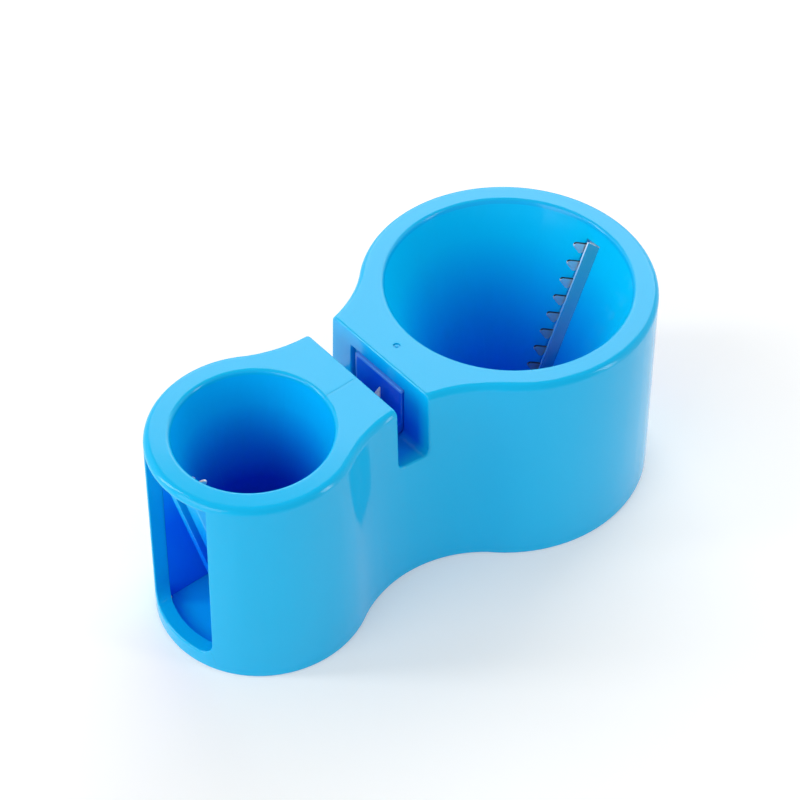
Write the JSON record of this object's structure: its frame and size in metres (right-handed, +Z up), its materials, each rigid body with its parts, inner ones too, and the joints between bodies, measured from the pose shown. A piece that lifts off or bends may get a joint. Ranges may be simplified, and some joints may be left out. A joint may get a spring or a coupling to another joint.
{
  "type": "vegetable spiral slicer",
  "caption": "Hand-held double-funnel spiral slicer for vegetables in glossy blue plastic, with steel blades and tooth combs in both cones and a knife sharpener across its waist.",
  "frame": {"origin": "on the table under the middle of the foot's bounding box", "axes": "+X along the length towards the large drum, +Y across the waist, +Z up from the foot to the deck"},
  "size_m": [0.1446, 0.078, 0.058],
  "materials": {
    "blue_plastic": "glossy moulded plastic, fine gate mark on the deck",
    "blade_steel": "ground stainless sheet with a bright edge",
    "screw_steel": "plain zinc-bright steel",
    "pale_ceramic": "fine-grained pale ceramic"
  },
  "bodies": {
    "root": {"housing": "blue_plastic", "base_plate": "blue_plastic", "base_screws": "screw_steel", "large_funnel": "blue_plastic", "small_funnel": "blue_plastic", "large_slicing_blade": "blade_steel", "small_slicing_blade": "blade_steel", "large_tooth_comb": "blade_steel", "small_tooth_comb": "blade_steel", "large_blade_pins": "screw_steel", "small_blade_pins": "screw_steel", "sharpener_holder": "blue_plastic", "front_sharpening_rod": "pale_ceramic", "rear_sharpening_rod": "pale_ceramic", "holder_screws": "screw_steel"}
  },
  "joints": []
}
